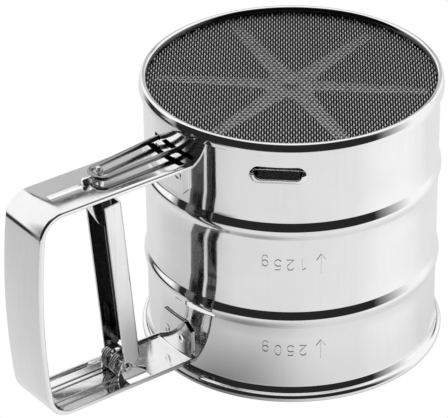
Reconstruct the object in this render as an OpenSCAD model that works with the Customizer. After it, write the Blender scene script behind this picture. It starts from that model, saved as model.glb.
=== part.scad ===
// Squeeze-handle flour sifter, standing on its mouth with the sieve on top.
// The origin is the centre of the mouth. +Z runs up the cup, and the handle points along -X.

/* [Cup] */
// Outer diameter of the plain wall
cup_d = 100; // [85:1:125]
// Overall height, from the mouth to the top of the sieve ring
cup_h = 98.5; // [80:0.5:120]
// Thickness of the cup's sheet
wall_t = 0.6; // [0.4:0.1:1.2]
// Middle of the lower rib above the mouth
low_rib_z = 31.5; // [28:0.5:38]
// Middle of the upper rib below the top of the ring
high_rib_drop = 33; // [30.5:0.1:34]
// Height of each rib band
rib_w = 6.8; // [4:0.2:8]
// How far a rib stands out of the wall
rib_h = 1; // [0.4:0.1:1.4]
// Radius of the rolled bead round the mouth
bead_r = 1.6; // [1:0.1:2.2]
// How far the mouth's bead stands out of the wall
mouth_out = 2.5; // [2:0.25:4]
// Height of the hollow flare above the mouth
flare_z = 6; // [5:0.5:7]

/* [Side slot] */
// Width of the slot that takes the bridge bar
bar_slot_w = 18; // [16:0.5:22]
// Height of the slot
slot_h = 5.7; // [5:0.1:7]
// Bottom edge of the slot below the top of the ring
slot_drop = 14.6; // [13:0.1:15.4]
// Turn of the slot from the handle
bar_turn = 47; // [35:1:60]

/* [Sieve] */
// How far the crimped ring stands out of the wall
ring_out = 1.3; // [1:0.1:2]
// Height of the ring's outer band
ring_h = 4.2; // [3:0.1:4.6]
// Width of the ring's top land
ring_land = 2.7; // [2:0.1:4]
// Depth of the sieve's top below the top of the ring
sieve_depth = 2.15; // [1.5:0.05:2.6]
// Thickness of the woven sieve
sieve_t = 0.7; // [0.5:0.05:1]

/* [Handle] */
// Reach of the grip's outer face beyond the cup wall
grip_reach = 60.6; // [54:0.2:72]
// Width of the strap
strap_w = 21; // [19:0.5:26]
// Thickness of the strap
strap_t = 0.8; // [0.6:0.1:1.2]
// Depth of the turned-in lips, over the strap's thickness
lip_h = 1.8; // [1.4:0.1:3]
// Height of the lower arm's outer face
arm_low_z = 7.4; // [6.8:0.1:9]
// Depth of the upper arm's outer face below the top of the ring
arm_drop = 13.9; // [13.8:0.1:16]
// Outer radius of the two bends
bend_r = 9; // [6:0.5:12]
// Outer radius of the bowed grip
bow_r = 250; // [180:10:400]
// Width of the tabs welded to the cup
tab_w = 18; // [14:0.5:19]
// Length of the upper tab
tab_top_l = 13; // [9:0.1:13.4]
// Length of the lower tab
tab_low_l = 14.3; // [9:0.1:16]
// Width of the guide slot in the upper arm
guide_w = 2.4; // [2.2:0.1:3.4]

/* [Trigger] */
// Reach of the hinge pin beyond the cup wall
hinge_out = 24.2; // [20:0.2:28]
// Height of the hinge pin above the lower arm's outer face
hinge_up = 5.8; // [5.4:0.1:8]
// Diameter of the hinge pin
hinge_d = 1.6; // [1.2:0.1:2]
// Lean of the trigger at rest
lever_lean = 5; // [3:0.5:7]
// Turn of the trigger when fully squeezed
squeeze_turn = 8.8; // [6:0.1:9]
// Width of the trigger channel
lever_w = 12.4; // [11.6:0.2:15]
// Thickness of the trigger's sheet
lever_t = 0.7; // [0.5:0.1:1]
// Depth of the trigger channel
lever_depth = 6.6; // [5:0.2:9]
// Length of the channel above the hinge pin
lever_l = 63.9; // [58:0.1:65]
// Thickness of the tongue that passes through the guide slot
tongue_t = 1.6; // [1.2:0.1:1.8]

/* [Spring] */
// Diameter of the spring wire
spring_wire = 0.9; // [0.6:0.1:1]
// Outer diameter of the coils
coil_d = 8.8; // [7:0.2:9]
// Length of one group of turns
coil_l = 3.8; // [2.8:0.1:3.8]

/* [Drive] */
// Diameter of the pull wire
wire_d = 1.8; // [1.4:0.1:2]
// Space between the arm and the underside of the pull wire
wire_lift = 1.1; // [0.8:0.1:1.3]
// Width of the wire loop, centre to centre
loop_w = 8; // [6:0.2:10]
// Radius of the loop's corners
loop_r = 2.4; // [1.8:0.1:2.6]
// Radius at which the wire pulls the crank
crank_r = 15.5; // [12:0.5:19]
// Width of the crank
crank_w = 7; // [6:0.5:9]
// Thickness of the crank and the star
plate_t = 1; // [0.8:0.1:1.2]
// Diameter of the centre pin
axle_d = 3; // [2.4:0.1:4]
// Outer diameter of the hub
hub_d = 8; // [6:0.5:12]
// Number of arms on the star
arm_count = 6; // [4:1:8]
// Reach of the star's arms
star_r = 46.5; // [36:0.5:47]
// Width of an arm at the hub
arm_root_w = 8; // [5:0.5:9]
// Width of an arm at its tip
arm_tip_w = 4.2; // [2:0.2:6]
// Width of the bridge bar
bar_w = 9; // [7:0.5:13]
// Thickness of the bridge bar
bar_t = 1; // [0.8:0.1:1.2]
// Height of the bar's welded foot
bar_foot_l = 6; // [4:0.5:8]

/* [Fits] */
// Radial clearance of a turning pin
turn_fit = 0.05; // [0.02:0.01:0.1]
// Radial clearance of a fixed pin
fixed_fit = 0.02; // [0.01:0.01:0.03]
// Gap between faces that are welded or seated
seat_gap = 0.05; // [0.02:0.01:0.1]
// Gap between faces that slide past each other
slide_gap = 0.1; // [0.05:0.05:0.2]
// Free space round a loose wire
loose_gap = 0.4; // [0.3:0.05:0.6]

/* [Hidden] */
$fn = 96;
tiny = 0.01;
bend_swell = 0.05;

// Cup
cup_r = cup_d / 2;
inner_r = cup_r - wall_t;
mouth_d = cup_d + 2 * mouth_out;
ring_d = cup_d + 2 * ring_out;
high_rib_z = cup_h - high_rib_drop;
rib_arc_r = (rib_w * rib_w / 4 + rib_h * rib_h) / (2 * rib_h);
rib_steps = 8;
bead_x = mouth_d / 2 - bead_r;
bead_z = bead_r - 0.15;
bead_foot_a = asin(bead_z / bead_r);
flare_run = bead_x - cup_r;
flare_drop = flare_z - bead_z - bead_r;
flare_a = 2 * atan(flare_run / flare_drop);
flare_r = flare_drop / sin(flare_a);
slot_z = cup_h - slot_drop + slot_h / 2;

// Sieve
sieve_top = cup_h - sieve_depth;
wall_top = sieve_top - sieve_t;
ring_round = 0.6;

// Handle, in its own frame: x is the reach from the cup's axis, y runs across the strap
grip_x = cup_r + grip_reach;
arm_top_z = cup_h - arm_drop;
strap_mid_z = (arm_low_z + arm_top_z) / 2;
strap_half = (arm_top_z - arm_low_z) / 2;
bow_a = asin((strap_half - bend_r) / (bow_r - bend_r));
bend_x = grip_x - bow_r + (bow_r - bend_r) * cos(bow_a);
weld_r = cup_r + seat_gap;
tab_cut = 3;

// Trigger
hinge_x = cup_r + hinge_out;
hinge_z = arm_low_z + hinge_up;
ear_t = strap_t;
ear_out = lever_w / 2 - lever_t - 2 * slide_gap;
ear_r = 2.5;
ear_foot = 8;
ear_sink = strap_t / 2;
window_l = 9;
window_w = 3.4;
lever_face = 1.1;
flange_back = lever_face - lever_depth;
web_front = flange_back + lever_t;
lever_foot = 3.2;
lever_eye_r = 2.2;
lever_toe = 2.6;
hinge_head_d = 3;
hinge_head_t = 0.7;
hinge_end = lever_w / 2 + 2 * slide_gap;

// Pull wire
wire_z = arm_top_z + wire_lift + wire_d / 2;
wire_rise = wire_z - hinge_z;
travel = wire_rise * (tan(lever_lean + squeeze_turn) - tan(lever_lean));
loop_x = hinge_x + wire_rise * tan(lever_lean);
hook_x = -travel / 2;
leg_slope = (crank_r - loop_w / 2) / (loop_x - hook_x);
guide_leg_x = cup_r - travel - 8.4;
guide_leg_slope = 0.05;
far_leg_y = -loop_w / 2 - leg_slope * (loop_x - cup_r);
far_leg_end_y = far_leg_y - leg_slope * travel;
near_leg_y = loop_w / 2 - guide_leg_slope * (loop_x - cup_r);
near_leg_end_y = near_leg_y - guide_leg_slope * travel;
wire_hole_h = wire_d + 2.5 * loose_gap;

// Tongue of the trigger, in the trigger's own leaning frame
wire_start = wire_rise / cos(lever_lean);
wire_stop = wire_rise / cos(lever_lean + squeeze_turn);
notch_half = wire_d / 2 + loose_gap;
notch_floor = wire_start - wire_d / 2 - loose_gap;
inner_prong = wire_stop + 0.7;
outer_prong = wire_start + 0.8;
tongue_back = -3.2;
tongue_front = 4.8;
tongue_root = 14;
guide_in = loop_x - wire_d - 4.2;
guide_out = hinge_x + (arm_top_z - hinge_z) * tan(lever_lean + squeeze_turn) + tongue_front + 2;

// Agitator stack, from the bridge bar up
crank_z = wire_z + wire_d / 2 + 0.5;
hub_z = crank_z + plate_t;
pin_head_t = 0.7;
washer_t = 0.5;
pin_top = wall_top - 0.7;
upper_washer_z = pin_top - pin_head_t - washer_t;
star_z = upper_washer_z - slide_gap - plate_t;
bar_seat_z = cup_h - slot_drop + slide_gap;
bar_z = bar_seat_z - 2.6;
bar_tab_w = bar_slot_w - slot_h + 1.4;
bar_tab_x = inner_r + wall_t / 2;
bar_step_x = inner_r - 7;
lower_washer_z = crank_z - slide_gap - washer_t;
axle_bore = axle_d + 2 * turn_fit;
axle_seat = axle_d + 2 * fixed_fit;
crank_slot_w = wire_d + 2 * loose_gap;
crank_reach = sqrt(crank_r * crank_r + hook_x * hook_x);
crank_rest = atan2(crank_r, -hook_x);
crank_nose = 2.6;
hook_top = hub_z + slide_gap + washer_t + 0.6;
clip_d = wire_d + 2.8;
hook_r = wire_d / 2 + 0.2;
star_hub_r = 8.6;
star_rest = 16;

// Outline of a rib on a wall of radius r, from its foot to its head
function rib(r, mid) = [
    for (i = [0:rib_steps])
        let (z = mid - rib_w / 2 + rib_w * i / rib_steps, d = z - mid)
        [r + sqrt(rib_arc_r * rib_arc_r - d * d) - rib_arc_r + rib_h, z]
];
function reversed(list) = [for (i = [len(list) - 1:-1:0]) list[i]];
function arc(x, y, r, from, to, steps) = [
    for (i = [0:steps])
        let (a = from + (to - from) * i / steps)
        [x + r * cos(a), y + r * sin(a)]
];

// Puts what is drawn in the handle's frame on the -X side of the cup
module on_handle() {
    rotate([0, 0, 180]) children();
}

// Puts what is drawn in the trigger's frame at the hinge pin
module on_trigger() {
    on_handle() translate([hinge_x, 0, hinge_z]) rotate([0, lever_lean, 0]) children();
}

// Stands a flat outline up, x stays and y becomes height, from y0 across the strap
module upright(y0, t) {
    translate([0, y0 + t, 0]) rotate([90, 0, 0]) linear_extrude(t) children();
}

// Pin across the strap
module cross_pin(y0, length, d) {
    translate([0, y0 + length, 0]) rotate([90, 0, 0]) cylinder(h = length, d = d);
}

// Straight length of wire between two points
module rod(a, b, d) {
    run = b - a;
    length = norm(run);
    translate(a) rotate([0, acos(run.z / length), atan2(run.y, run.x)]) cylinder(h = length, d = d);
}

function unit(v) = v / norm(v);
// How far a bend of radius r eats into the straights on both sides of the corner b
function bend_eats(a, b, c, r) = r * tan(acos(unit(b - a) * unit(c - b)) / 2);

// Bend of radius r at the corner b of the route a, b, c, a hair thicker than the straights it joins
module wire_bend(a, b, c, r, d) {
    along = unit(b - a);
    turn = acos(along * unit(c - b));
    axis = unit(cross(along, c - b));
    inward = cross(axis, along);
    start = b - along * r * tan(turn / 2);
    centre = start + inward * r;
    multmatrix([
        [-inward.x, along.x, axis.x, centre.x],
        [-inward.y, along.y, axis.y, centre.y],
        [-inward.z, along.z, axis.z, centre.z],
        [0, 0, 0, 1]
    ]) rotate_extrude(angle = turn) translate([r, 0]) circle(d = d + bend_swell, $fn = 32);
}

// Wire bent to a route, with a bend's radius for each corner and none at the two ends
module bent_wire(route, radii, d) {
    last = len(route) - 1;
    eats = [
        for (i = [0:last])
            i == 0 || i == last ? 0 : bend_eats(route[i - 1], route[i], route[i + 1], radii[i]) - bend_swell
    ];
    for (i = [1:last]) {
        along = unit(route[i] - route[i - 1]);
        rod(route[i - 1] + along * eats[i - 1], route[i] - along * eats[i], d);
    }
    for (i = [1:last - 1])
        wire_bend(route[i - 1], route[i], route[i + 1], radii[i], d);
}

// Flat ring
module washer(z, t, outer, bore) {
    translate([0, 0, z]) difference() {
        cylinder(h = t, d = outer);
        translate([0, 0, -tiny]) cylinder(h = t + 2 * tiny, d = bore);
    }
}

// Round-ended cutter, w wide and h high, for a hole that looks out along +X at height z
module slot_cutter(w, h, z) {
    translate([cup_r - 4, 0, z]) rotate([0, 90, 0]) {
        for (side = [-1, 1])
            translate([0, side * (w - h) / 2, 0]) cylinder(h = 8, d = h);
        translate([-h / 2, -(w - h) / 2, 0]) cube([h, w - h, 8]);
    }
}

// Hole in the wall for a leg of the wire, which shifts between two places as it slides
module wire_hole(y_low, y_high) {
    translate([0, (y_low + y_high) / 2, 0])
        slot_cutter(y_high - y_low + wire_hole_h, wire_hole_h, wire_z);
}

module cup_body() {
    color("silver") difference() {
        rotate_extrude($fn = 180) polygon(concat(
            [[inner_r, 0]],
            arc(bead_x, bead_z, bead_r, -bead_foot_a, 90, 14),
            arc(cup_r + flare_r, flare_z, flare_r, 180 + flare_a, 180, 6),
            rib(cup_r, low_rib_z),
            rib(cup_r, high_rib_z),
            [[cup_r, wall_top], [inner_r, wall_top]],
            reversed(rib(inner_r, high_rib_z)),
            reversed(rib(inner_r, low_rib_z))
        ));
        rotate([0, 0, 180 + bar_turn]) slot_cutter(bar_slot_w, slot_h, slot_z);
        on_handle() {
            wire_hole(near_leg_end_y, near_leg_y);
            wire_hole(far_leg_end_y, far_leg_y);
        }
    }
}

module sieve_ring() {
    inside = ring_d / 2 - ring_land;
    color("gainsboro") rotate_extrude($fn = 180) polygon(concat(
        [[weld_r, cup_h - ring_h], [ring_d / 2, cup_h - ring_h]],
        arc(ring_d / 2 - ring_round, cup_h - ring_round, ring_round, 0, 90, 5),
        arc(inside + ring_round, cup_h - ring_round, ring_round, 90, 180, 5),
        [[inside, sieve_top], [weld_r, sieve_top]]
    ));
}

module sieve_mesh() {
    color("dimgray") translate([0, 0, wall_top]) cylinder(h = sieve_t, r = cup_r - seat_gap, $fn = 180);
}

// The strap's centre-plane path at a depth below its outer face, from the upper arm to the lower
function strap_path(depth) = concat(
    [[0, arm_top_z - depth]],
    arc(bend_x, arm_top_z - bend_r, bend_r - depth, 90, bow_a, 10),
    arc(grip_x - bow_r, strap_mid_z, bow_r - depth, bow_a, -bow_a, 16),
    arc(bend_x, arm_low_z + bend_r, bend_r - depth, -bow_a, -90, 10),
    [[0, arm_low_z + depth]]
);

// The strap's web or lip: what lies between its outer face and a depth, y0 to y0 + t across
module strap_layer(depth, y0, t) {
    upright(y0, t) polygon(concat(strap_path(0), reversed(strap_path(depth))));
}

// Tab turned from an arm and welded to the cup, z0 at the arm, up or down by its length
module strap_tab(z0, length, up) {
    translate([0, 0, z0]) mirror([0, 0, up ? 0 : 1]) intersection() {
        cylinder(h = 2 * length, r = weld_r + strap_t, $fn = 180);
        rotate([90, 0, 90]) linear_extrude(2 * cup_r) polygon([
            [-tab_w / 2, 0], [tab_w / 2, 0], [tab_w / 2, length - tab_cut],
            [tab_w / 2 - tab_cut, length], [tab_cut - tab_w / 2, length], [-tab_w / 2, length - tab_cut]
        ]);
    }
}

// Ear lanced up from the lower arm to hold the hinge pin
module strap_ear(y0) {
    translate([hinge_x, 0, hinge_z]) difference() {
        upright(y0, ear_t) union() {
            circle(r = ear_r, $fn = 48);
            polygon([
                [-ear_foot, ear_sink - hinge_up], [ear_r + 1, ear_sink - hinge_up],
                [ear_r, 0], [-ear_r, 0.6], [-ear_foot, 2.4 - hinge_up]
            ]);
        }
        cross_pin(y0 - 1, ear_t + 2, hinge_d + 2 * fixed_fit);
    }
}

module handle_strap() {
    color("lightgray") on_handle() {
        difference() {
            union() {
                strap_layer(strap_t, -strap_w / 2, strap_w);
                strap_layer(lip_h, -strap_w / 2, strap_t);
                strap_layer(lip_h, strap_w / 2 - strap_t, strap_t);
                strap_tab(arm_top_z, tab_top_l, false);
                strap_tab(arm_low_z, tab_low_l, true);
            }
            cylinder(h = cup_h, r = weld_r, $fn = 180);
            translate([guide_in, -guide_w / 2, arm_top_z - 2 * strap_t])
                cube([guide_out - guide_in, guide_w, 3 * strap_t]);
            for (side = [0, 1])
                mirror([0, side, 0])
                    translate([hinge_x - ear_foot, ear_out, arm_low_z - 1]) cube([window_l, window_w, 3]);
        }
        strap_ear(ear_out - ear_t);
        strap_ear(-ear_out);
    }
}

// One side of the trigger's channel
module lever_flange(y0) {
    difference() {
        upright(y0, lever_t) union() {
            circle(r = lever_eye_r, $fn = 48);
            polygon([
                [lever_face, lever_l], [flange_back, lever_l], [flange_back, lever_foot],
                [0.2, -lever_toe], [lever_face, -1.6]
            ]);
        }
        cross_pin(y0 - 1, lever_t + 2, hinge_d + 2 * turn_fit);
    }
}

// Channel that is open towards the grip, with its web on the fingers' side
module trigger_lever() {
    color("whitesmoke") on_trigger() {
        lever_flange(lever_w / 2 - lever_t);
        lever_flange(-lever_w / 2);
        translate([flange_back, -lever_w / 2, lever_foot]) cube([lever_t, lever_w, lever_l - lever_foot]);
        upright(-tongue_t / 2, tongue_t) polygon([
            [web_front, lever_l - tongue_root], [lever_face, lever_l - tongue_root + 6],
            [tongue_front, lever_l + 1], [tongue_front, outer_prong], [notch_half, outer_prong],
            [notch_half, notch_floor], [-notch_half, notch_floor], [-notch_half, inner_prong],
            [tongue_back, inner_prong], [tongue_back, lever_l + 1], [web_front, lever_l - 1]
        ]);
    }
}

module hinge_pin() {
    color("dimgray") on_handle() translate([hinge_x, 0, hinge_z]) {
        cross_pin(-hinge_end - hinge_head_t - 0.3, 2 * hinge_end + hinge_head_t + 0.3, hinge_d);
        cross_pin(hinge_end, hinge_head_t, hinge_head_d);
    }
}

module hinge_clip() {
    color("gray") on_handle() translate([hinge_x, 0, hinge_z]) difference() {
        cross_pin(-hinge_end - hinge_head_t, hinge_head_t, hinge_head_d + 0.8);
        cross_pin(-hinge_end - 2, 4, hinge_d + 2 * fixed_fit);
    }
}

// Double torsion spring: two groups of turns, two feet on the arm and one bail on the trigger
module return_spring() {
    mean_r = (coil_d - spring_wire) / 2;
    coil_end = ear_out - ear_t - slide_gap;
    foot_x = bend_x + 3.4 - hinge_x;
    foot_in = spring_wire / 2 + bend_swell;
    bail_y = 1.3;
    bail_top = [web_front + spring_wire / 2 + slide_gap, 0, 15];
    bail_foot = [-mean_r * cos(30), 0, mean_r * sin(30)];
    color("slategray") {
        on_handle() translate([hinge_x, 0, hinge_z]) {
            for (y0 = [-coil_end, coil_end - coil_l])
                difference() {
                    cross_pin(y0, coil_l, coil_d);
                    cross_pin(y0 - 1, coil_l + 2, coil_d - 2 * spring_wire);
                }
            for (y = [-coil_end + foot_in, coil_end - coil_l + foot_in])
                rod([0, y, -mean_r], [foot_x, y, -mean_r], spring_wire - bend_swell);
        }
        on_trigger() bent_wire([
            bail_foot - [0, bail_y, 0], bail_top - [0, bail_y, 0],
            bail_top + [0, bail_y, 0], bail_foot + [0, bail_y, 0]
        ], [0, spring_wire, spring_wire, 0], spring_wire);
    }
}

module pull_wire() {
    hook = [hook_x, -crank_r, wire_z];
    near_end = [guide_leg_x, loop_w / 2 - guide_leg_slope * (loop_x - guide_leg_x), wire_z];
    color("lightsteelblue") on_handle() bent_wire([
        [hook.x, hook.y, hook_top], hook,
        [loop_x, -loop_w / 2, wire_z], [loop_x, loop_w / 2, wire_z],
        near_end
    ], [0, hook_r, loop_r, loop_r, 0], wire_d);
}

module wire_clip() {
    color("gray") on_handle() translate([hook_x, -crank_r, 0])
        washer(hub_z + slide_gap, washer_t, clip_d, wire_d + 2 * fixed_fit);
}

// Bar across the cup: a tab in the side slot at one end, a foot welded inside the wall at the other
module bridge_bar() {
    foot_r = inner_r - seat_gap;
    color("darkgray") rotate([0, 0, bar_turn]) difference() {
        union() {
            translate([-bar_step_x, -bar_w / 2, bar_z]) cube([2 * bar_step_x, bar_w, bar_t]);
            translate([-bar_step_x, -bar_w / 2, bar_z]) cube([bar_t, bar_w, bar_seat_z + bar_t - bar_z]);
            intersection() {
                translate([-cup_r, -bar_tab_w / 2, bar_seat_z]) cube([cup_r - bar_step_x + bar_t, bar_tab_w, bar_t]);
                cylinder(h = cup_h, r = bar_tab_x, $fn = 180);
            }
            intersection() {
                translate([0, -bar_w / 2, bar_z]) cube([cup_r, bar_w, bar_t]);
                cylinder(h = cup_h, r = foot_r, $fn = 180);
            }
            intersection() {
                translate([bar_step_x, -bar_w / 2, bar_z]) cube([cup_r, bar_w, bar_foot_l]);
                difference() {
                    cylinder(h = cup_h, r = foot_r, $fn = 180);
                    cylinder(h = cup_h, r = foot_r - bar_t, $fn = 180);
                }
            }
        }
        translate([0, 0, bar_z - 1]) cylinder(h = bar_t + 2, d = axle_seat);
    }
}

module centre_pin() {
    color("dimgray") {
        translate([0, 0, bar_z - 1]) cylinder(h = 1, d = 2 * axle_d);
        translate([0, 0, bar_z - 1]) cylinder(h = pin_top - bar_z + 1, d = axle_d);
        translate([0, 0, pin_top - pin_head_t]) cylinder(h = pin_head_t, d = axle_d + 2);
    }
}

module spacer_collar() {
    color("gray") washer(bar_z + bar_t, lower_washer_z - bar_z - bar_t, axle_d + 2.4, axle_seat);
}

module lower_washer() {
    color("silver") washer(lower_washer_z, washer_t, hub_d + 0.4, axle_seat);
}

module upper_washer() {
    color("silver") washer(upper_washer_z, washer_t, axle_d + 3.6, axle_seat);
}

module crank_plate() {
    tip = crank_reach + crank_slot_w / 2 + crank_nose;
    color("darkgray") rotate([0, 0, crank_rest]) translate([0, 0, crank_z]) difference() {
        union() {
            cylinder(h = plate_t, d = hub_d + 3);
            translate([0, -crank_w / 2, 0]) cube([tip - crank_w / 2, crank_w, plate_t]);
            translate([tip - crank_w / 2, 0, 0]) cylinder(h = plate_t, d = crank_w);
        }
        translate([0, 0, -1]) cylinder(h = plate_t + 2, d = axle_bore);
        for (r = [crank_r, crank_reach])
            translate([r, 0, -1]) cylinder(h = plate_t + 2, d = crank_slot_w);
        translate([crank_r, -crank_slot_w / 2, -1]) cube([crank_reach - crank_r, crank_slot_w, plate_t + 2]);
    }
}

module agitator_hub() {
    color("gray") washer(hub_z, star_z - hub_z, hub_d, axle_bore);
}

module agitator_star() {
    color("silver") translate([0, 0, star_z]) linear_extrude(plate_t) difference() {
        union() {
            circle(r = star_hub_r);
            for (i = [0:arm_count - 1])
                rotate([0, 0, star_rest + 360 * i / arm_count]) polygon([
                    [0, -arm_root_w / 2], [star_r - 1, -arm_tip_w / 2], [star_r, 1 - arm_tip_w / 2],
                    [star_r, arm_tip_w / 2 - 1], [star_r - 1, arm_tip_w / 2], [0, arm_root_w / 2]
                ]);
        }
        circle(d = axle_bore);
    }
}

cup_body();
sieve_ring();
sieve_mesh();
handle_strap();
trigger_lever();
hinge_pin();
hinge_clip();
return_spring();
pull_wire();
wire_clip();
bridge_bar();
centre_pin();
spacer_collar();
lower_washer();
upper_washer();
crank_plate();
agitator_hub();
agitator_star();
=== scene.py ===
"""Squeeze-handle flour sifter: polished cup, woven sieve, strap handle, sprung trigger and stirrer."""

import logging
import math
from dataclasses import dataclass, field
from enum import Enum
from typing import Callable, Iterable, Sequence

import bmesh
import bpy
from mathutils import Matrix, Vector

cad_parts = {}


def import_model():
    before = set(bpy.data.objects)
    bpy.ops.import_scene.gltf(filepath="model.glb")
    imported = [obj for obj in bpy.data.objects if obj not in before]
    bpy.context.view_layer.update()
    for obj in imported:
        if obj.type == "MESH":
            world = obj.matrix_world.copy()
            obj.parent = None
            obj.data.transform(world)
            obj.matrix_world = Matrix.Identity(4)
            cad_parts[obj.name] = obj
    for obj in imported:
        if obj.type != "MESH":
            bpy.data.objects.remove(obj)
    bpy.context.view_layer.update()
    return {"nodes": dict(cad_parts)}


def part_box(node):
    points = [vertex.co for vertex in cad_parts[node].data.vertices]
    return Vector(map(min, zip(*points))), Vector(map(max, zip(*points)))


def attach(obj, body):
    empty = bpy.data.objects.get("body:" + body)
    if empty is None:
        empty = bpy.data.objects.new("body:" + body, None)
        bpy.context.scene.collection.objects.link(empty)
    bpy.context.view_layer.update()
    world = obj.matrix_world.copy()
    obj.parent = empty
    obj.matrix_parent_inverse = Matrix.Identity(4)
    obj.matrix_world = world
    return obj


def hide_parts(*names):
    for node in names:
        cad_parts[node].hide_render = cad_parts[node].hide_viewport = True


MM = 0.001
LOG = logging.getLogger("flour_sifter")

Point2 = tuple[float, float]
Point3 = tuple[float, float, float]


# ---------------------------------------------------------------- modelling moves


class Bench:
    """Modelling moves that every sub-assembly shares. Sizes are in millimetres."""

    @staticmethod
    def clear() -> None:
        """Leaves nothing selected."""
        if bpy.context.object and bpy.context.object.mode != "OBJECT":
            bpy.ops.object.mode_set(mode="OBJECT")
        bpy.ops.object.select_all(action="DESELECT")

    @staticmethod
    def pick(obj: bpy.types.Object) -> bpy.types.Object:
        """Makes one object the only one selected, and active."""
        Bench.clear()
        obj.select_set(True)
        bpy.context.view_layer.objects.active = obj
        return obj

    @staticmethod
    def edit(obj: bpy.types.Object, *moves: Callable[[], object]) -> None:
        """Runs moves in edit mode on the whole mesh.

        Args:
            obj: The mesh to edit.
            moves: Calls to make, in order.
        """
        Bench.pick(obj)
        bpy.ops.object.mode_set(mode="EDIT")
        bpy.ops.mesh.select_all(action="SELECT")
        for move in moves:
            move()
        bpy.ops.object.mode_set(mode="OBJECT")

    @staticmethod
    def clean(obj: bpy.types.Object, angle: float = 32.0, weld: float = 0.002) -> bpy.types.Object:
        """Welds doubles, points faces outwards and smooths up to an angle.

        Args:
            obj: The mesh.
            angle: Edges sharper than this stay hard, in degrees.
            weld: Distance within which vertices join, in mm.

        Returns:
            The same object.
        """
        Bench.edit(
            obj,
            lambda: bpy.ops.mesh.remove_doubles(threshold=weld * MM),
            lambda: bpy.ops.mesh.normals_make_consistent(inside=False),
        )
        bpy.ops.object.shade_smooth_by_angle(angle=math.radians(angle), keep_sharp_edges=False)
        return obj

    @staticmethod
    def modify(obj: bpy.types.Object, kind: str, **values: object) -> bpy.types.Object:
        """Adds a modifier and applies it.

        Args:
            obj: The mesh.
            kind: Blender's name of the modifier type.
            values: Settings of the modifier.

        Returns:
            The same object.
        """
        Bench.pick(obj)
        modifier = obj.modifiers.new(kind.title(), kind)
        for key, value in values.items():
            setattr(modifier, key, value)
        bpy.ops.object.modifier_apply(modifier=modifier.name)
        return obj

    @staticmethod
    def cut(obj: bpy.types.Object, *tools: bpy.types.Object) -> bpy.types.Object:
        """Cuts tools out of an object and throws the tools away."""
        for tool in tools:
            Bench.modify(obj, "BOOLEAN", operation="DIFFERENCE", object=tool, solver="EXACT")
            bpy.data.objects.remove(tool)
        return obj

    @staticmethod
    def fuse(obj: bpy.types.Object, *others: bpy.types.Object) -> bpy.types.Object:
        """Unites solids with an object and throws the others away."""
        for other in others:
            Bench.modify(obj, "BOOLEAN", operation="UNION", object=other, solver="EXACT")
            bpy.data.objects.remove(other)
        return obj

    @staticmethod
    def join(name: str, *parts: bpy.types.Object) -> bpy.types.Object:
        """Joins meshes that only touch into one object."""
        Bench.pick(parts[0])
        for part in parts:
            part.select_set(True)
        if len(parts) > 1:
            bpy.ops.object.join()
        parts[0].name = parts[0].data.name = name
        return parts[0]

    @staticmethod
    def place(obj: bpy.types.Object, matrix: Matrix) -> bpy.types.Object:
        """Moves an object by a matrix and applies it, so that it stays at the origin."""
        Bench.pick(obj)
        obj.matrix_world = matrix @ obj.matrix_world
        bpy.ops.object.transform_apply(location=True, rotation=True, scale=True)
        return obj

    @staticmethod
    def outline(name: str, points: Sequence[Point3]) -> bpy.types.Object:
        """Lays a closed loop of edges through points, starting from a primitive circle.

        Args:
            name: Name of the new object.
            points: Corners in mm.

        Returns:
            The loop, with no face.
        """
        Bench.clear()
        bpy.ops.mesh.primitive_circle_add(vertices=len(points), radius=MM)
        obj = bpy.context.object
        obj.name = obj.data.name = name
        for vertex, point in zip(obj.data.vertices, points):
            vertex.co = Vector(point) * MM
        return obj

    @staticmethod
    def turn(name: str, profile: Sequence[Point2], steps: int = 96) -> bpy.types.Object:
        """Spins a closed profile of (radius, height) about Z, as on a lathe.

        Args:
            name: Name of the new object.
            profile: Corners in mm.
            steps: Facets round the axis.

        Returns:
            The turned solid.
        """
        obj = Bench.outline(name, [(r, 0.0, z) for r, z in profile])
        Bench.edit(obj, lambda: bpy.ops.mesh.spin(steps=steps, angle=math.tau, center=(0, 0, 0), axis=(0, 0, 1)))
        return Bench.clean(obj)

    @staticmethod
    def press(name: str, outline: Sequence[Point2], thick: float, round_by: float = 0.12) -> bpy.types.Object:
        """Stamps a flat blank with slightly rounded edges, lying on z = 0.

        Args:
            name: Name of the new object.
            outline: Corners (x, y) in mm.
            thick: Thickness in mm.
            round_by: Radius of the edges in mm.

        Returns:
            The blank.
        """
        obj = Bench.outline(name, [(x, y, 0.0) for x, y in outline])
        Bench.edit(
            obj,
            lambda: bpy.ops.mesh.edge_face_add(),
            lambda: bpy.ops.mesh.extrude_region_move(TRANSFORM_OT_translate={"value": (0, 0, thick * MM)}),
            lambda: bpy.ops.mesh.select_all(action="SELECT"),
            lambda: bpy.ops.mesh.normals_make_consistent(inside=False),
        )
        if round_by:
            Bench.modify(
                obj, "BEVEL", width=round_by * MM, segments=2, limit_method="ANGLE", angle_limit=math.radians(40)
            )
        return Bench.clean(obj, 40)

    @staticmethod
    def box(low: Point3, high: Point3) -> bpy.types.Object:
        """A plain block between two corners, for cutting."""
        Bench.clear()
        middle = (Vector(low) + Vector(high)) / 2 * MM
        bpy.ops.mesh.primitive_cube_add(size=1, location=middle)
        obj = bpy.context.object
        obj.scale = (Vector(high) - Vector(low)) * MM
        bpy.ops.object.transform_apply(location=True, rotation=True, scale=True)
        return obj

    @staticmethod
    def drum(radius: float, low: float, high: float, sides: int = 96) -> bpy.types.Object:
        """A plain drum about Z, for cutting."""
        Bench.clear()
        bpy.ops.mesh.primitive_cylinder_add(
            vertices=sides, radius=radius * MM, depth=(high - low) * MM, location=(0, 0, (low + high) / 2 * MM)
        )
        bpy.ops.object.transform_apply(location=True, rotation=True, scale=True)
        return bpy.context.object

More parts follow.
